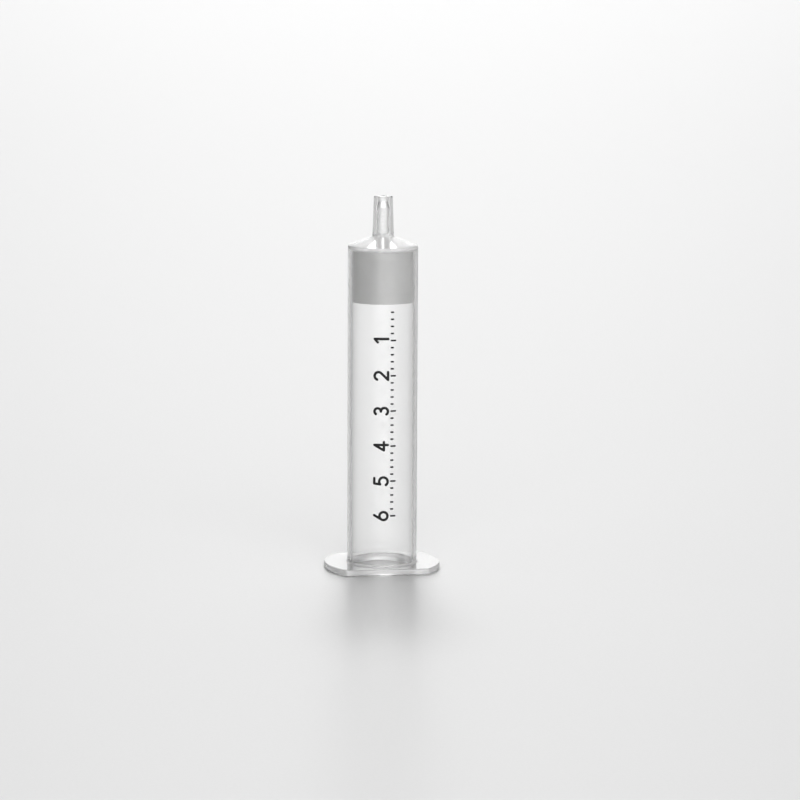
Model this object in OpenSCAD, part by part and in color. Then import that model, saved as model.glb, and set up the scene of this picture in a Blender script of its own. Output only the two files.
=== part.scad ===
// Solid-phase extraction cartridge, 6 mL size: a moulded barrel with a finger flange and a
// luer tip, holding a bed of sorbent between two porous frits.
// Millimetres. The barrel stands on its flange, +Z runs up its axis to the tip, and the
// long axis of the flange lies along X. The origin is the centre of the mouth.

/* [Barrel] */
// Outer diameter of the barrel
barrel_od = 15; // [12:0.1:18]
// Wall of the barrel
barrel_wall = 1; // [0.7:0.05:1.4]
// Height of the shoulder's edge above the flange's outer face
barrel_length = 69.6; // [50:0.1:100]
// Radius that rounds the shoulder's edge
shoulder_round = 0.25; // [0.1:0.05:0.6]

/* [Mouth] */
// How much wider than the bore the mouth opens, on the radius
lead_in_width = 0.5; // [0.1:0.05:0.6]
// Depth of the cone that leads into the bore
lead_in_depth = 0.9; // [0.2:0.1:2]

/* [Flange] */
// Length of the flange, over its two rounded ends
flange_length = 25; // [20:0.1:32]
// Width of the flange, across its two straight sides
flange_width = 19.6; // [16.2:0.1:24]
// Thickness of the flange
flange_thickness = 1.3; // [1:0.05:3]
// Radius of each rounded end
flange_end_radius = 15; // [13:0.1:30]
// Radius of the four corners between the ends and the sides
flange_corner_radius = 1.5; // [0.6:0.1:4]
// Radius that rounds the flange's upper and lower edges
flange_edge_round = 0.3; // [0.1:0.05:0.45]
// Fillet between the flange and the barrel
flange_root_fillet = 0.4; // [0.1:0.05:0.5]

/* [Outlet cone] */
// Rise of the outside of the cone, from the shoulder's edge to the tip's root
cone_rise = 1.9; // [1:0.1:5]
// Wall of the cone, measured along the axis
cone_wall = 1.4; // [0.8:0.05:2.5]
// Width of the flat ledge that the outlet frit sits on
seat_width = 0.5; // [0.2:0.05:1.5]

/* [Luer tip] */
// Length of the tip, from its root on the cone to its open end
tip_length = 8.6; // [7:0.1:15]
// Outer diameter at the open end
tip_end_d = 4.04; // [3.9:0.01:5]
// Growth of the diameter for each millimetre towards the root, which a luer fixes at 6 %
luer_taper = 0.06; // [0.04:0.01:0.1]
// Radius that rounds the open end's outer edge
tip_end_round = 0.35; // [0.05:0.05:0.5]
// Fillet between the tip and the cone
tip_root_fillet = 0.3; // [0.1:0.05:0.8]
// Diameter of the lumen where its narrow end begins
lumen_d = 2; // [1.6:0.05:2.6]
// Growth of the lumen's diameter for each millimetre from there towards the cone
lumen_taper = 0.02; // [0:0.005:0.04]
// Diameter of the narrow end of the lumen
exit_d = 1.6; // [1:0.05:1.95]
// Length of the narrow end
exit_length = 1.2; // [0.5:0.1:4]
// Length over which the lumen narrows
exit_taper_length = 1.3; // [0.2:0.1:2]

/* [Packing] */
// Thickness of each frit
frit_thickness = 1.7; // [1:0.1:3]
// Height of the sorbent bed between the frits
bed_height = 7.7; // [2:0.1:20]
// Gap between the bore and what is packed in it, on the radius
packing_clearance = 0.02; // [0.01:0.01:0.1]

/* [Hidden] */
$fn = 96;

// Overshoot that carries a cut clear through a face
through = 1;
// How far a rounding's sliver runs on past the corner, so that it fuses with the solid or clears it
spare = 0.2;

barrel_r = barrel_od / 2;
bore_r = barrel_r - barrel_wall;
mouth_r = bore_r + lead_in_width;

cone_top_z = barrel_length + cone_rise;
tip_end_z = cone_top_z + tip_length;
tip_end_r = tip_end_d / 2;
tip_root_r = tip_end_r + luer_taper * tip_length / 2;
tip_lean = atan(luer_taper / 2);
exit_r = exit_d / 2;
exit_z = tip_end_z - exit_length;
lumen_r = lumen_d / 2;
lumen_z = exit_z - exit_taper_length;

// The outside of the cone climbs this fast for each millimetre towards the axis
cone_slope = cone_rise / (barrel_r - tip_root_r);
cone_angle = atan(cone_slope);
// The inside of the cone runs parallel to the outside
function cone_floor_z(r) = barrel_length + cone_slope * (barrel_r - r) - cone_wall;
seat_r = bore_r - seat_width;
seat_z = cone_floor_z(seat_r);
// The tapered lumen starts where its wall meets the cone's inside
lumen_lean = lumen_taper / 2;
lumen_foot_r = (lumen_r + lumen_lean * (lumen_z - cone_floor_z(0))) / (1 - lumen_lean * cone_slope);

packing_r = bore_r - packing_clearance;
bed_top_z = seat_z - frit_thickness;
bed_foot_z = bed_top_z - bed_height;
inlet_face_z = bed_foot_z - frit_thickness;

// Centres of the arcs that bound the flange's ends and corners
end_centre_x = flange_end_radius - flange_length / 2;
corner_y = flange_width / 2 - flange_corner_radius;
corner_reach = flange_end_radius - flange_corner_radius;
corner_x = sqrt(pow(corner_reach, 2) - pow(corner_y, 2)) - end_centre_x;
corner_sweep = atan2(corner_y, corner_x + end_centre_x);

function heading(angle) = [cos(angle), sin(angle)];

// The sliver between a sharp corner and the arc that rounds it. The corner's two edges leave
// it at the angles a and b. Taken off an outer corner, or added to an inner one.
module corner_sliver(corner, a, b, r) {
    half = (b - a) / 2;
    inward = heading((a + b) / 2);
    centre = corner + r / sin(half) * inward;
    start = corner + r / tan(half) * heading(a);
    end = corner + r / tan(half) * heading(b);
    difference() {
        polygon([
            start, centre, end,
            end - spare * inward, corner - spare * inward, start - spare * inward
        ]);
        translate(centre) circle(r);
    }
}

// Half section of a plate whose outer edges are rounded, from the axis out to radius r
module plate_section(r) {
    core_r = r - flange_edge_round;
    square([core_r, flange_thickness]);
    translate([0, flange_edge_round])
        square([r, flange_thickness - 2 * flange_edge_round]);
    for (z = [flange_edge_round, flange_thickness - flange_edge_round])
        translate([core_r, z]) circle(flange_edge_round);
}

// A round plate with rounded edges
module round_plate(r) {
    rotate_extrude()
        intersection() {
            plate_section(r);
            square([r, flange_thickness]);
        }
}

// A straight bar with rounded edges, which gives the flange its two parallel sides
module straight_plate() {
    translate([-flange_length, 0, 0])
        rotate([90, 0, 90])
            linear_extrude(2 * flange_length)
                for (side = [0, 1])
                    mirror([side, 0])
                        plate_section(flange_width / 2);
}

// What the rounding of one corner takes off: all that lies beyond its arc, between the
// corner's side and its end
module corner_cut() {
    reach = 2 * flange_corner_radius;
    translate([corner_x, corner_y, -through])
        linear_extrude(flange_thickness + 2 * through)
            difference() {
                polygon([[0, 0], reach * heading(corner_sweep), [2 * reach, 2 * reach], [0, reach]]);
                circle(flange_corner_radius);
            }
}

// An oblong plate: two rounded ends and two straight sides, with its corners rounded
module flange() {
    difference() {
        intersection() {
            translate([-end_centre_x, 0, 0]) round_plate(flange_end_radius);
            translate([end_centre_x, 0, 0]) round_plate(flange_end_radius);
            straight_plate();
        }
        for (x = [0, 1], y = [0, 1])
            mirror([x, 0, 0]) mirror([0, y, 0]) corner_cut();
    }
}

// Half section of the barrel's outside: wall, rounded shoulder, cone and luer taper
module outer_section() {
    difference() {
        union() {
            polygon([
                [0, 0], [barrel_r, 0], [barrel_r, barrel_length], [tip_root_r, cone_top_z],
                [tip_end_r, tip_end_z], [0, tip_end_z]
            ]);
            corner_sliver([barrel_r, flange_thickness], 0, 90, flange_root_fillet);
            corner_sliver([tip_root_r, cone_top_z], -cone_angle, 90 + tip_lean, tip_root_fillet);
        }
        corner_sliver([barrel_r, barrel_length], 180 - cone_angle, 270, shoulder_round);
        corner_sliver([tip_end_r, tip_end_z], 180, 270 + tip_lean, tip_end_round);
    }
}

// Half section of the hollow: mouth, bore, frit seat, conical floor and lumen
module cavity_section() {
    polygon([
        [0, -through], [mouth_r, -through], [mouth_r, 0], [bore_r, lead_in_depth],
        [bore_r, seat_z], [seat_r, seat_z], [lumen_foot_r, cone_floor_z(lumen_foot_r)],
        [lumen_r, lumen_z], [exit_r, exit_z],
        [exit_r, tip_end_z + through], [0, tip_end_z + through]
    ]);
}

// One polypropylene moulding: flange, barrel, cone and tip
module barrel() {
    color([0.93, 0.94, 0.94, 0.45])
        difference() {
            union() {
                flange();
                rotate_extrude() outer_section();
            }
            rotate_extrude() cavity_section();
        }
}

// A disc of sintered polyethylene
module frit() {
    color("gainsboro") cylinder(r = packing_r, h = frit_thickness);
}

module outlet_frit() {
    translate([0, 0, bed_top_z]) frit();
}

module sorbent_bed() {
    color("silver")
        translate([0, 0, bed_foot_z]) cylinder(r = packing_r, h = bed_height);
}

module inlet_frit() {
    translate([0, 0, inlet_face_z]) frit();
}

barrel();
outlet_frit();
sorbent_bed();
inlet_frit();
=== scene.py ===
# %% [markdown]
# # A solid-phase extraction cartridge
#
# The object is a clear polypropylene barrel that stands on its finger flange, with a luer tip
# on top. Two porous discs, called frits, hold a bed of sorbent powder near the tip. The shapes
# of the barrel, frits and bed come from the CAD frame. This lesson adds what Blender is good
# at: the clear plastic, the two matt packings, the printed scale and the light.

import math

import bmesh
import bpy
from mathutils import Matrix, Vector
from mathutils.geometry import delaunay_2d_cdt


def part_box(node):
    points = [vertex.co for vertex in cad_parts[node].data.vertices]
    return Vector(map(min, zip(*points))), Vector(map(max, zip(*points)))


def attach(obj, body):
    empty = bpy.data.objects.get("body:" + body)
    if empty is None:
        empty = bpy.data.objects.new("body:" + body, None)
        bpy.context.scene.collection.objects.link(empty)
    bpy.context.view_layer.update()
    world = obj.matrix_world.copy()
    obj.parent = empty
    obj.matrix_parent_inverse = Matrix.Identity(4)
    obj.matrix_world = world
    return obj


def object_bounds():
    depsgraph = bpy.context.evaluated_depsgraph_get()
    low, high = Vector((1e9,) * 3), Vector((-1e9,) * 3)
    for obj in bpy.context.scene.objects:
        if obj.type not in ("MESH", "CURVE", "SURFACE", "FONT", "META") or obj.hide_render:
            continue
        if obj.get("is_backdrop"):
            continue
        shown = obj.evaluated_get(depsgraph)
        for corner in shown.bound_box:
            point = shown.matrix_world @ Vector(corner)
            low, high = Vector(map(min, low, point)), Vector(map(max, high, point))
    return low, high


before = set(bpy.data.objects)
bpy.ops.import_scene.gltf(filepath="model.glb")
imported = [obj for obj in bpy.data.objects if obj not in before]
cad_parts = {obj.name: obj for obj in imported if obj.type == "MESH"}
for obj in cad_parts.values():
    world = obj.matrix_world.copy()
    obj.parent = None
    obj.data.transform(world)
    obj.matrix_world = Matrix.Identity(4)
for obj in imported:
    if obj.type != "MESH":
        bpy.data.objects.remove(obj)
cad_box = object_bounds()
MM = 0.001

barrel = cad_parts["barrel"]
outlet_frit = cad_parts["outlet_frit"]
sorbent_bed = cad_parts["sorbent_bed"]
inlet_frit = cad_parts["inlet_frit"]

for name in sorted(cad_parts):
    low, high = ([round(v / MM, 2) for v in corner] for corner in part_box(name))
    print(name, "from", low, "to", high, "mm")

# %% [markdown]
# ## Colours and nodes
#
# A colour picker and a paint chart give sRGB values, while a shader works with linear light.
# One function turns a hex value into linear numbers, and every material goes through it.
# A second function adds a node with its settings and its links, because a material is easier
# to read as a list of nodes than as many lines of clicks.

# %% Colour and node helpers
def linear(hex_colour):
    """Linear red, green and blue, with an alpha of 1, of an sRGB hex colour such as '#F2F2F0'."""
    channels = [int(hex_colour[i:i + 2], 16) / 255 for i in (1, 3, 5)]
    straight = [c / 12.92 if c <= 0.04045 else ((c + 0.055) / 1.055) ** 2.4 for c in channels]
    return (*straight, 1.0)


def add_node(tree, kind, inputs=None, **settings):
    """Adds a node, sets its settings, and fills or links its inputs, by name or by number."""
    node = tree.nodes.new(kind)
    for setting, value in settings.items():
        setattr(node, setting, value)
    for key, value in (inputs or {}).items():
        if isinstance(value, bpy.types.NodeSocket):
            tree.links.new(value, node.inputs[key])
        else:
            node.inputs[key].default_value = value
    return node


def new_material(name):
    """An empty node material, with its output and its node tree."""
    material = bpy.data.materials.new(name)
    material.use_nodes = True
    material.node_tree.nodes.clear()
    output = material.node_tree.nodes.new("ShaderNodeOutputMaterial")
    return material, material.node_tree, output


print("mid grey, #808080, is", round(linear("#808080")[0], 3), "in linear light")

# %% [markdown]
# ## The barrel: injection-moulded polypropylene
#
# Polypropylene is clear but never as clear as glass: it cools into tiny crystals that scatter a
# little light, so the wall looks faintly milky, most of all at its edges. Its refractive index
# is 1.49. The steel mould was polished, so the surface is glossy, and the melt leaves soft
# waves where it froze, a few millimetres across and longer along its flow. A plain glass shader
# would miss the milk, and a see-through alpha would miss the bright and dark lines that the
# wall bends into view. So this uses the Principled shader with nearly full transmission, and
# the part that is not transmitted is the milky scatter. Thick plastic cools slowly, grows
# larger crystals and comes out milkier, so the transmission follows the height: the thin wall
# is clearest, the tip is a little less so, and the flange and the cone, which are thickest, are
# the milkiest.

# %% How clear the barrel is at each height
FLANGE_TOP = 1.3 * MM
SHOULDER = 69.6 * MM
CONE_TOP = 71.5 * MM
TIP_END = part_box("barrel")[1][2]

# The share of light that the plastic lets through, and the rest is scattered
CLEAR_WALL = 0.97
CLEAR_TIP = 0.9
MILKY_FLANGE = 0.68
MILKY_CONE = 0.5

clear_at = [
    (0.0, MILKY_FLANGE),
    (FLANGE_TOP, MILKY_FLANGE),
    (1.5 * FLANGE_TOP, CLEAR_WALL),
    (SHOULDER - 1.0 * MM, CLEAR_WALL),
    (SHOULDER - 0.55 * MM, MILKY_CONE),
    (CONE_TOP, MILKY_CONE),
    (CONE_TOP + 0.8 * MM, CLEAR_TIP),
    (TIP_END, CLEAR_TIP),
]
for z, clear in clear_at:
    print("at", round(z / MM, 2), "mm the plastic lets", round(100 * clear), "% through")


# %% Moulded polypropylene
def moulded_polypropylene():
    """Polypropylene, injection moulded in a polished tool: clear, glossy, faintly milky."""
    material, tree, output = new_material("moulded_polypropylene")
    place = add_node(tree, "ShaderNodeTexCoord")
    # Flow waves, 4 mm across and 16 mm long, drawn out along the way the melt ran
    stretch = add_node(
        tree,
        "ShaderNodeMapping",
        {"Vector": place.outputs["Object"], "Scale": (1 / (4 * MM), 1 / (4 * MM), 1 / (16 * MM))},
    )
    waves = add_node(
        tree,
        "ShaderNodeTexNoise",
        {"Vector": stretch.outputs["Vector"], "Scale": 1.0, "Detail": 2.0},
    )
    bump = add_node(
        tree,
        "ShaderNodeBump",
        {"Height": waves.outputs["Fac"], "Strength": 0.12, "Distance": 0.02 * MM},
    )
    # Handling leaves the gloss a little uneven, in patches of about 6 mm
    patches = add_node(
        tree,
        "ShaderNodeTexNoise",
        {"Vector": place.outputs["Object"], "Scale": 1 / (6 * MM), "Detail": 4.0},
    )
    gloss = add_node(
        tree,
        "ShaderNodeMapRange",
        {
            "Value": patches.outputs["Fac"],
            "From Min": 0.3,
            "From Max": 0.7,
            "To Min": 0.03,
            "To Max": 0.07,
        },
    )
    # How clear the plastic is at each height, from the flange's face to the tip's end
    parts = add_node(tree, "ShaderNodeSeparateXYZ", {"Vector": place.outputs["Object"]})
    scaled = add_node(
        tree,
        "ShaderNodeMapRange",
        {"Value": parts.outputs["Z"], "From Max": TIP_END},
    )
    clearness = add_node(tree, "ShaderNodeFloatCurve", {"Value": scaled.outputs["Result"]})
    curve = clearness.mapping.curves[0]
    # A new curve already has its two end points, so these are moved and the rest are added
    for point, (z, clear) in zip(curve.points, (clear_at[0], clear_at[-1])):
        point.location = (z / TIP_END, clear)
    for z, clear in clear_at[1:-1]:
        curve.points.new(z / TIP_END, clear)
    for point in curve.points:
        point.handle_type = "VECTOR"
    clearness.mapping.update()
    shader = add_node(
        tree,
        "ShaderNodeBsdfPrincipled",
        {
            "Base Color": linear("#FFFFFF"),
            "Roughness": gloss.outputs["Result"],
            "IOR": 1.49,
            "Transmission Weight": clearness.outputs["Value"],
            "Normal": bump.outputs["Normal"],
        },
    )
    tree.links.new(shader.outputs["BSDF"], output.inputs["Surface"])
    return material


polypropylene = moulded_polypropylene()
barrel.material_slots[0].material = polypropylene
print("barrel wears", polypropylene.name)

# %% [markdown]
# ## The frits: sintered polyethylene
#
# A frit is a disc of polyethylene grains, heated until they stick and leave pores of about
# 20 micrometres. It is white, dead matt and slightly grainy, and behind the clear wall it
# reads as nearly the same pale grey as the powder that it holds. The pores are far too fine
# to show, so the grain is drawn about 0.3 mm across. Voronoi cells are round and packed like
# grains, which noise is not.

# %% Sintered polyethylene
def sintered_polyethylene_frit():
    """Polyethylene grains, sintered: white, matt, porous. The grain is drawn coarser than it is."""
    material, tree, output = new_material("sintered_polyethylene_frit")
    place = add_node(tree, "ShaderNodeTexCoord")
    grains = add_node(
        tree,
        "ShaderNodeTexVoronoi",
        {"Vector": place.outputs["Object"], "Scale": 1 / (0.3 * MM)},
    )
    shade = add_node(
        tree,
        "ShaderNodeMix",
        {"Factor": grains.outputs["Distance"], "A": linear("#D4D4D3"), "B": linear("#CCCCCB")},
        data_type="RGBA",
    )
    bump = add_node(
        tree,
        "ShaderNodeBump",
        {"Height": grains.outputs["Distance"], "Strength": 0.5, "Distance": 0.05 * MM},
        invert=True,
    )
    shader = add_node(
        tree,
        "ShaderNodeBsdfPrincipled",
        {
            "Base Color": shade.outputs["Result"],
            "Roughness": 0.85,
            "IOR": 1.5,
            "Normal": bump.outputs["Normal"],
        },
    )
    tree.links.new(shader.outputs["BSDF"], output.inputs["Surface"])
    return material


frit_plastic = sintered_polyethylene_frit()
for frit in (outlet_frit, inlet_frit):
    frit.material_slots[0].material = frit_plastic
print("frits wear", frit_plastic.name)

# %% [markdown]
# ## The bed: packed sorbent powder
#
# The sorbent is a powder of porous grains, of silica or of a polymer, about 50 micrometres
# across and pressed between the frits. Against the wall it reads as an even light grey with a
# faint cloudiness where the packing is looser. The grains could be loose particles, but
# nothing shows of them except their surface. They are drawn as a fine noise 0.25 mm across so
# that they show.

# %% Packed sorbent
def packed_sorbent():
    """Porous grains, packed dry: light grey, matt. The grain is drawn coarser than it is."""
    material, tree, output = new_material("packed_sorbent")
    place = add_node(tree, "ShaderNodeTexCoord")
    grains = add_node(
        tree,
        "ShaderNodeTexNoise",
        {"Vector": place.outputs["Object"], "Scale": 1 / (0.25 * MM), "Detail": 3.0},
    )
    clouds = add_node(
        tree,
        "ShaderNodeTexNoise",
        {"Vector": place.outputs["Object"], "Scale": 1 / (4 * MM)},
    )
    blend = add_node(
        tree,
        "ShaderNodeMath",
        {0: grains.outputs["Fac"], 1: clouds.outputs["Fac"]},
        operation="ADD",
    )
    fade = add_node(
        tree,
        "ShaderNodeMapRange",
        {"Value": blend.outputs["Value"], "From Min": 0.7, "From Max": 1.3},
    )
    shade = add_node(
        tree,
        "ShaderNodeMix",
        {"Factor": fade.outputs["Result"], "A": linear("#CACAC9"), "B": linear("#D6D6D5")},
        data_type="RGBA",
    )
    bump = add_node(
        tree,
        "ShaderNodeBump",
        {"Height": grains.outputs["Fac"], "Strength": 0.4, "Distance": 0.03 * MM},
    )
    shader = add_node(
        tree,
        "ShaderNodeBsdfPrincipled",
        {
            "Base Color": shade.outputs["Result"],
            "Roughness": 0.9,
            "IOR": 1.45,
            "Normal": bump.outputs["Normal"],
        },
    )
    tree.links.new(shader.outputs["BSDF"], output.inputs["Surface"])
    return material


sorbent = packed_sorbent()
sorbent_bed.material_slots[0].material = sorbent
print("bed wears", sorbent.name)

# %% [markdown]
# ## The printed scale
#
# The barrel carries one pad-printed layer: a volume scale in black ink, with a tick for every
# 0.2 mL and a numeral for each whole millilitre. The bore is 13 mm across, so 1 mL fills
# 7.5 mm of it, and the scale counts from the inlet frit towards the mouth. Blender's text
# objects could give the numerals, but they bring a typeface along and need converting. Six
# numerals drawn as strokes are quick, and every stroke is a line or an arc of one width.

# %% Straight and round strokes
# The points of a straight stroke lie no further apart than this, so that it bends round the barrel
LINE_STEP_MM = 0.25
ARC_STEP_DEG = 9


def line(start, end):
    """Points along a straight stroke."""
    run, rise = end[0] - start[0], end[1] - start[1]
    steps = max(1, math.ceil(math.dist(start, end) / LINE_STEP_MM))
    return [(start[0] + run * i / steps, start[1] + rise * i / steps) for i in range(steps + 1)]


def arc(centre, radius, start, end):
    """Points along a round stroke, from one angle to the other in degrees."""
    steps = math.ceil(abs(end - start) / ARC_STEP_DEG)
    angles = [math.radians(start + (end - start) * i / steps) for i in range(steps + 1)]
    return [(centre[0] + radius * math.cos(a), centre[1] + radius * math.sin(a)) for a in angles]


print("a full circle has", len(arc((0.0, 0.0), 1.0, 0, 360)), "points")

# %% The numerals
STROKE_MM = 0.5
GLYPH_SCALE = 1.1

# Each is drawn upright, in millimetres from its lower left, and scaled when it is laid down
NUMERALS = {
    1: [line((0.15, 2.0), (0.8, 2.6)), line((0.8, 2.6), (0.8, 0.0))],
    2: [
        arc((0.75, 1.85), 0.75, 160, -35),
        line((1.364, 1.42), (0.0, 0.0)),
        line((0.0, 0.0), (1.5, 0.0)),
    ],
    3: [arc((0.7, 1.98), 0.62, 145, -90), arc((0.7, 0.68), 0.68, 90, -145)],
    4: [
        line((1.05, 2.6), (0.0, 0.75)),
        line((0.0, 0.75), (1.6, 0.75)),
        line((1.05, 2.6), (1.05, 0.0)),
    ],
    5: [
        line((1.35, 2.6), (0.3, 2.6)),
        line((0.3, 2.6), (0.173, 1.448)),
        arc((0.7, 0.82), 0.82, 130, -145),
    ],
    6: [
        arc((0.75, 0.78), 0.78, 0, 180),
        arc((0.75, 0.78), 0.78, 180, 360),
        line((0.075, 1.17), (0.9, 2.6)),
    ],
}
heights = [point[1] for strokes in NUMERALS.values() for stroke in strokes for point in stroke]
numeral_height = GLYPH_SCALE * (max(heights) - min(heights) + STROKE_MM)
print("numerals", list(NUMERALS), "drawn", round(numeral_height, 2), "mm high")

# %% [markdown]
# A stroke becomes a ribbon with round ends, which is what a pad leaves of a fine line. Where
# two ribbons of one numeral overlap, a constrained triangulation merges them, so that the ink
# is one flat sheet with clean edges. The sheet is then given a thickness and wrapped round the
# barrel. Real ink is about 0.01 mm thick. It is drawn 0.02 mm proud, and it reaches 0.01 mm
# into the wall, so that no air shows between the two when it is seen through the barrel.

# %% Ribbons and their union
# A round end turns through its half circle in this many steps
END_STEPS = 8
MERGE_WITHIN_MM = 1e-5
# The triangulation's output type that fills every closed loop
FILL_LOOPS = 1


def ribbon(points, width):
    """The outline of a stroke, anticlockwise: both sides of its centre line and its round ends."""
    half = width / 2
    left, right = [], []
    for i, point in enumerate(points):
        before, after = points[max(i - 1, 0)], points[min(i + 1, len(points) - 1)]
        way = math.atan2(after[1] - before[1], after[0] - before[0])
        left.append((point[0] - half * math.sin(way), point[1] + half * math.cos(way)))
        right.append((point[0] + half * math.sin(way), point[1] - half * math.cos(way)))

    def round_end(end, before):
        way = math.atan2(end[1] - before[1], end[0] - before[0])
        turns = [way + math.radians(180 * i / END_STEPS - 90) for i in range(1, END_STEPS)]
        return [(end[0] + half * math.cos(turn), end[1] + half * math.sin(turn)) for turn in turns]

    return right + round_end(points[-1], points[-2]) + left[::-1] + round_end(points[0], points[1])


def merged(outlines):
    """The union of flat outlines, as points and triangles."""
    points = [Vector(p) for outline in outlines for p in outline]
    faces, start = [], 0
    for outline in outlines:
        faces.append(list(range(start, start + len(outline))))
        start += len(outline)
    result = delaunay_2d_cdt(points, [], faces, FILL_LOOPS, MERGE_WITHIN_MM)
    spots, triangles, sources = result[0], result[2], result[5]
    # A triangle in a hole, such as the one in the 6, comes from no outline and is left out
    return spots, [t for t, source in zip(triangles, sources) if source]


four = [ribbon(stroke, STROKE_MM) for stroke in NUMERALS[4]]
print("the strokes of the 4 merge into", len(merged(four)[1]), "triangles")

# %% Wrap the ink round the barrel
BARREL_R_MM = 7.5
INK_PROUD_MM = 0.02
INK_BITE_MM = 0.01
# The print's own upright line is turned this far round the barrel from -Y
PRINT_TURN = math.radians(-3.1)


def lay_ink(body, outlines, to_barrel):
    """Adds one closed film of ink to the mesh: outer face, inner face and the rim between them."""
    spots, triangles = merged(outlines)
    layers = []
    for radius in (BARREL_R_MM + INK_PROUD_MM, BARREL_R_MM - INK_BITE_MM):
        layer = []
        for spot in spots:
            across, height = to_barrel(spot)
            turn = PRINT_TURN + across / BARREL_R_MM
            place = Vector((radius * math.sin(turn), -radius * math.cos(turn), height)) * MM
            layer.append(body.verts.new(place))
        layers.append(layer)
    outer, inner = layers
    seen = {}
    for a, b, c in triangles:
        body.faces.new((outer[a], outer[b], outer[c]))
        body.faces.new((inner[c], inner[b], inner[a]))
        for edge in ((a, b), (b, c), (c, a)):
            seen[frozenset(edge)] = seen.get(frozenset(edge), []) + [edge]
    for uses in seen.values():
        if len(uses) == 1:
            a, b = uses[0]
            body.faces.new((outer[b], outer[a], inner[a], inner[b]))


print("the film is", round(INK_PROUD_MM + INK_BITE_MM, 3), "mm deep in all")

# %% [markdown]
# The zero of the scale is the open face of the inlet frit, which comes from the CAD frame, and
# the heights follow from the bore, so the scale reads true. The 6 mL mark ends 12 mm short of
# the mouth. Each tick and numeral could be an object of its own, but one mesh is what the pad
# lays down: one layer of ink.

# %% The spacing of the scale
INLET_FACE_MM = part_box("inlet_frit")[0][2] / MM
BORE_R_MM = 6.5
MM_PER_ML = 1000 / (math.pi * BORE_R_MM ** 2)
TICKS_PER_ML = 5
TICK_MM = 0.36
# How far the numerals' feet and the ticks' left ends stand to the right of the upright line
BASELINE_MM = 0.7
TICK_START_MM = 1.4
TICK_REACH_MM = {"whole": 0.9, "part": 0.4}
print("1 mL is", round(MM_PER_ML, 3), "mm of the bore")

# %% The scale
# Edges that turn by more than this stay sharp: those round the film's rim
SHARP_EDGE = math.radians(40)

ink = bmesh.new()
for count in range(1, len(NUMERALS) * TICKS_PER_ML + 1):
    height = INLET_FACE_MM - MM_PER_ML * count / TICKS_PER_ML
    whole = count % TICKS_PER_ML == 0
    reach = TICK_REACH_MM["whole" if whole else "part"]
    tick = ribbon(line((0.0, 0.0), (reach, 0.0)), TICK_MM)
    lay_ink(ink, [tick], lambda p, z=height: (TICK_START_MM + p[0], z + p[1]))
    if whole:
        strokes = NUMERALS[count // TICKS_PER_ML]
        widths = [point[0] for stroke in strokes for point in stroke]
        middle = (min(widths) + max(widths)) / 2
        # The numerals lie on their side: their width runs up the barrel, their tops point to -X
        lay_ink(
            ink,
            [ribbon(stroke, STROKE_MM) for stroke in strokes],
            lambda p, z=height, m=middle: (
                BASELINE_MM - GLYPH_SCALE * p[1],
                z + GLYPH_SCALE * (p[0] - m),
            ),
        )
bmesh.ops.recalc_face_normals(ink, faces=ink.faces[:])
loose = sum(not edge.is_manifold for edge in ink.edges)

scale_mesh = bpy.data.meshes.new("printed_scale")
ink.to_mesh(scale_mesh)
ink.free()
scale_mesh.shade_smooth()
scale_mesh.set_sharp_from_angle(angle=SHARP_EDGE)
printed_scale = bpy.data.objects.new("printed_scale", scale_mesh)
bpy.context.scene.collection.objects.link(printed_scale)
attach(printed_scale, "root")
print("printed_scale has", len(scale_mesh.polygons), "faces and", loose, "open edges")

# %% [markdown]
# ## The ink
#
# Pad-printing ink for polypropylene is a two-part epoxy or acrylic lacquer, full of carbon
# black. It dries to a satin film, a little duller than the plastic, and the silicone pad leaves
# it very slightly mottled. The mottle shows only where light glances off it. The real one is
# too fine to show, so it is drawn 0.4 mm across.

# %% Pad-printed ink
def pad_printed_ink():
    """Two-part ink, pad printed and dried: carbon black in a satin film, faintly mottled."""
    material, tree, output = new_material("pad_printed_ink")
    place = add_node(tree, "ShaderNodeTexCoord")
    mottle = add_node(
        tree,
        "ShaderNodeTexNoise",
        {"Vector": place.outputs["Object"], "Scale": 1 / (0.4 * MM), "Detail": 4.0},
    )
    depth = add_node(
        tree,
        "ShaderNodeMix",
        {"Factor": mottle.outputs["Fac"], "A": linear("#0C0C0D"), "B": linear("#191919")},
        data_type="RGBA",
    )
    satin = add_node(
        tree,
        "ShaderNodeMapRange",
        {
            "Value": mottle.outputs["Fac"],
            "From Min": 0.3,
            "From Max": 0.7,
            "To Min": 0.35,
            "To Max": 0.5,
        },
    )
    bump = add_node(
        tree,
        "ShaderNodeBump",
        {"Height": mottle.outputs["Fac"], "Strength": 0.3, "Distance": 0.01 * MM},
    )
    # The carbon black lies right at the surface, so the film mirrors less than clear lacquer
    shader = add_node(
        tree,
        "ShaderNodeBsdfPrincipled",
        {
            "Base Color": depth.outputs["Result"],
            "Roughness": satin.outputs["Result"],
            "IOR": 1.5,
            "Specular IOR Level": 0.2,
            "Normal": bump.outputs["Normal"],
        },
    )
    tree.links.new(shader.outputs["BSDF"], output.inputs["Surface"])
    return material


printed_scale.data.materials.append(pad_printed_ink())
print("scale wears", printed_scale.data.materials[0].name)

# %% [markdown]
# ## The camera
#
# A product shot of small ware is taken from a good distance with a long lens, so that upright
# edges stay nearly parallel. The camera here is 0.68 m away and looks down by 9 degrees, which
# just opens the top of the cone. The object stands a little left of the frame's middle.

# %% Camera
IMAGE_SIDE = 800
SENSOR_MM = 36.0
LENS_MM = 140.8
DISTANCE = 675.3 * MM
ELEVATION = math.radians(8.86)
AZIMUTH = math.radians(-7)
ROLL = math.radians(-0.28)
# Where the middle of the foot stands in the image, in pixels from its top left corner
FOOT_AT = (381.8, 566.1)
# What is nearer or farther than this, in metres, is left out
NEAR_CLIP = 0.05
FAR_CLIP = 50

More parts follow.
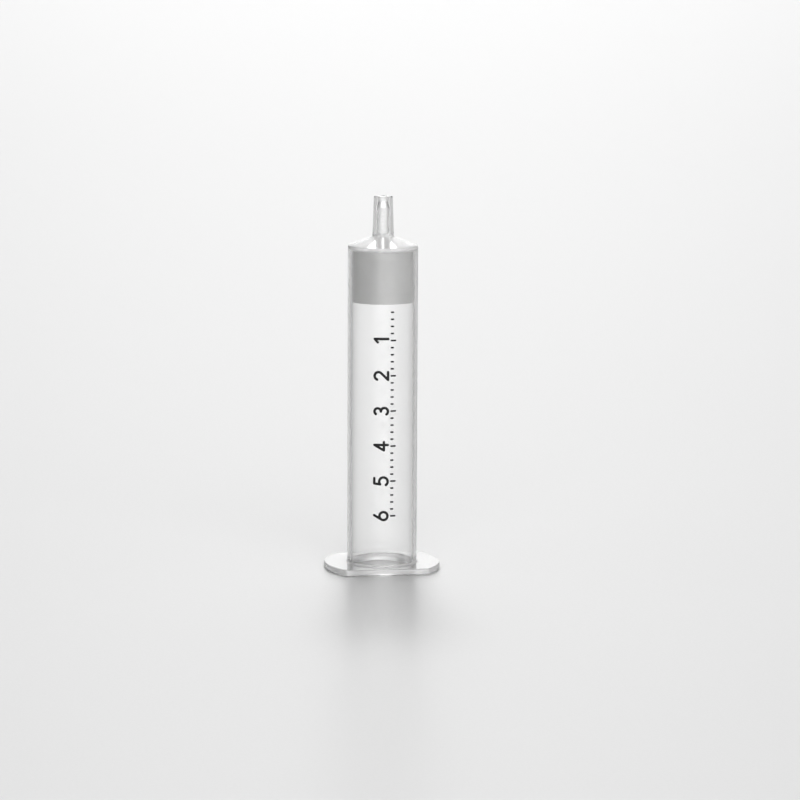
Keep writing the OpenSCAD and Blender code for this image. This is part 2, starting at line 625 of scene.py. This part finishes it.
back = Vector((0, -math.cos(ELEVATION), math.sin(ELEVATION)))
level = Vector((1, 0, 0))
upright = back.cross(level)
right = level * math.cos(ROLL) - upright * math.sin(ROLL)
up = level * math.sin(ROLL) + upright * math.cos(ROLL)
focal = LENS_MM / SENSOR_MM * IMAGE_SIDE
to_foot = (
    right * (FOOT_AT[0] - IMAGE_SIDE / 2) / focal
    - up * (FOOT_AT[1] - IMAGE_SIDE / 2) / focal
    - back
)
stand = Matrix((right, up, back)).transposed().to_4x4()
stand.translation = -to_foot * DISTANCE

camera = bpy.data.objects.new("camera", bpy.data.cameras.new("camera"))
bpy.context.scene.collection.objects.link(camera)
camera.data.sensor_width = SENSOR_MM
camera.data.lens = LENS_MM
camera.data.clip_start = NEAR_CLIP
camera.data.clip_end = FAR_CLIP
camera.matrix_world = Matrix.Rotation(AZIMUTH, 4, "Z") @ stand
bpy.context.scene.camera = camera
print("camera at", [round(v, 3) for v in camera.matrix_world.translation])

# %% [markdown]
# ## The set: a sheet of white acrylic
#
# Small ware is often stood on cast acrylic whose face has been rubbed down to a satin. It
# gives a pale ground, a soft shadow and a blurred reflection, and it runs on far behind the
# ware, so that no edge or corner shows. One flat face is enough for that. It lies 0.05 mm
# below the flange, because two faces in the same place would fight over which is in front.

# %% Satin acrylic
def satin_acrylic():
    """Cast acrylic, rubbed down to a satin: pale, finely grained, with a blurred reflection."""
    material, tree, output = new_material("satin_acrylic")
    place = add_node(tree, "ShaderNodeTexCoord")
    # The rubbed grain is finer than 0.1 mm, and is drawn 0.6 mm wide so that it shows
    grain = add_node(
        tree,
        "ShaderNodeTexNoise",
        {"Vector": place.outputs["Object"], "Scale": 1 / (0.6 * MM), "Detail": 2.0},
    )
    satin = add_node(
        tree,
        "ShaderNodeMapRange",
        {
            "Value": grain.outputs["Fac"],
            "From Min": 0.3,
            "From Max": 0.7,
            "To Min": 0.30,
            "To Max": 0.36,
        },
    )
    bump = add_node(
        tree,
        "ShaderNodeBump",
        {"Height": grain.outputs["Fac"], "Strength": 0.15, "Distance": 0.03 * MM},
    )
    shader = add_node(
        tree,
        "ShaderNodeBsdfPrincipled",
        {
            "Base Color": linear("#C9C9C9"),
            "Roughness": satin.outputs["Result"],
            "IOR": 1.49,
            "Normal": bump.outputs["Normal"],
        },
    )
    tree.links.new(shader.outputs["BSDF"], output.inputs["Surface"])
    return material


acrylic = satin_acrylic()
print("sheet wears", acrylic.name)

# %% The acrylic sheet
FLOOR_REACH = 12.0
FLOOR_Z = -0.05 * MM
floor_mesh = bpy.data.meshes.new("acrylic_sheet")
corners = [
    (-FLOOR_REACH, -FLOOR_REACH, FLOOR_Z),
    (FLOOR_REACH, -FLOOR_REACH, FLOOR_Z),
    (FLOOR_REACH, FLOOR_REACH, FLOOR_Z),
    (-FLOOR_REACH, FLOOR_REACH, FLOOR_Z),
]
floor_mesh.from_pydata(corners, [], [(0, 1, 2, 3)])
floor = bpy.data.objects.new("acrylic_sheet", floor_mesh)
bpy.context.scene.collection.objects.link(floor)
floor.data.materials.append(acrylic)
floor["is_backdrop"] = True
print("floor is", 2 * FLOOR_REACH, "m square, at", round(FLOOR_Z / MM, 2), "mm")

# %% [markdown]
# ## The studio
#
# Clear ware has no colour of its own: it shows what stands round it. A bright wall far behind
# the ware gives the pale ground, and its glow falls off to both sides. The barrel's edges bend
# the view sideways, past that glow, so they read as soft grey lines. Glassware is often lit
# this way, against a bright field with dark flags at its sides.
# A small strong lamp stands high behind the ware, and makes its soft shadow in front and the
# bright cone. A wide lamp in front lights the matt packing, and two weak fills at the sides
# keep the ware readable from every side. Lamp objects could do all of this, but they would be
# seen as shapes through the clear wall. Here the world is the whole studio, worked out from
# the direction alone, so that it is the same for every camera.

# %% Directions in the studio
# The whole studio is turned to face the camera, which stands a little left of the ware
STUDIO_TURN = math.radians(7.3)
world = bpy.data.worlds.new("studio")
bpy.context.scene.world = world
world.use_nodes = True
studio = world.node_tree
studio.nodes.clear()
around = add_node(studio, "ShaderNodeTexCoord")
toward = add_node(
    studio,
    "ShaderNodeVectorRotate",
    {"Vector": around.outputs["Generated"], "Angle": STUDIO_TURN},
    rotation_type="Z_AXIS",
).outputs["Vector"]
parts = add_node(studio, "ShaderNodeSeparateXYZ", {"Vector": toward})
print("studio turned", round(math.degrees(STUDIO_TURN), 1), "degrees")

# %% The bright wall
WALL_STRENGTH = 1.75
# The X of the direction at which the wall has faded out: the sine of 38 degrees
WALL_REACH = 0.61
# The Y of the direction from which the wall starts and is whole, so that it is only behind
WALL_START = 0.1
WALL_WHOLE = 0.6

sideways = add_node(studio, "ShaderNodeMath", {0: parts.outputs["X"]}, operation="ABSOLUTE")
across = add_node(
    studio,
    "ShaderNodeMapRange",
    {
        "Value": sideways.outputs["Value"],
        "From Max": WALL_REACH,
        "To Min": WALL_STRENGTH,
        "To Max": 0.0,
    },
    interpolation_type="SMOOTHSTEP",
)
behind = add_node(
    studio,
    "ShaderNodeMapRange",
    {"Value": parts.outputs["Y"], "From Min": WALL_START, "From Max": WALL_WHOLE},
    interpolation_type="SMOOTHSTEP",
)
wall = add_node(
    studio,
    "ShaderNodeMath",
    {0: across.outputs["Result"], 1: behind.outputs["Result"]},
    operation="MULTIPLY",
)
print("wall fades out", round(math.degrees(math.asin(WALL_REACH))), "degrees to either side")

# %% [markdown]
# A lamp in such a world is a direction with light round it. The dot product of that direction
# and the one being looked in is 1 at the lamp's middle and falls off from there, and a smooth
# step turns it into a disc with a soft edge. Directions are given as on a compass laid round
# the ware: 0 degrees is behind it, 90 is to its right, and 180 is in front.

# %% The lamps
def soft_disc(azimuth, elevation, core, edge, strength):
    """Light from one direction: full within the core angle, none past the edge, all in degrees."""
    heading, rise = math.radians(azimuth), math.radians(elevation)
    level = math.cos(rise)
    middle = (math.sin(heading) * level, math.cos(heading) * level, math.sin(rise))
    nearness = add_node(
        studio,
        "ShaderNodeVectorMath",
        {0: toward, 1: middle},
        operation="DOT_PRODUCT",
    )
    light = add_node(
        studio,
        "ShaderNodeMapRange",
        {
            "Value": nearness.outputs["Value"],
            "From Min": math.cos(math.radians(edge)),
            "From Max": math.cos(math.radians(core)),
            "To Max": strength,
        },
        interpolation_type="SMOOTHSTEP",
    )
    return light.outputs["Result"]


lights = {
    "wall": wall.outputs["Value"],
    "rear lamp": soft_disc(azimuth=-2, elevation=48, core=5, edge=11, strength=30),
    "front lamp": soft_disc(azimuth=168, elevation=13, core=15, edge=44, strength=4.6),
    "left fill": soft_disc(azimuth=-105, elevation=14, core=15, edge=45, strength=0.55),
    "right fill": soft_disc(azimuth=105, elevation=14, core=15, edge=45, strength=0.55),
}
print("the studio has", ", ".join(lights))

# %% World
# The glow of the room itself, from everywhere
AMBIENT = 0.12

total = AMBIENT
for light in lights.values():
    adder = add_node(studio, "ShaderNodeMath", {0: total, 1: light}, operation="ADD")
    total = adder.outputs["Value"]
sky = add_node(studio, "ShaderNodeBackground", {"Strength": total})
add_node(studio, "ShaderNodeOutputWorld", {"Surface": sky.outputs["Background"]})

bpy.context.scene.view_settings.view_transform = "Standard"
print("view transform is", bpy.context.scene.view_settings.view_transform)

# %% [markdown]
# ## Sizes
#
# The finished model has to fit the box of the CAD model, because Blender adds looks and no
# size. The ink is the only new shape, and it stands within the flange's outline. Both boxes
# are written down to compare.

# %% Sizes
visual_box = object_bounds()
for label, box in (("CAD", cad_box), ("visual", visual_box)):
    print(label, "box", [[round(v / MM, 2) for v in corner] for corner in box], "mm")
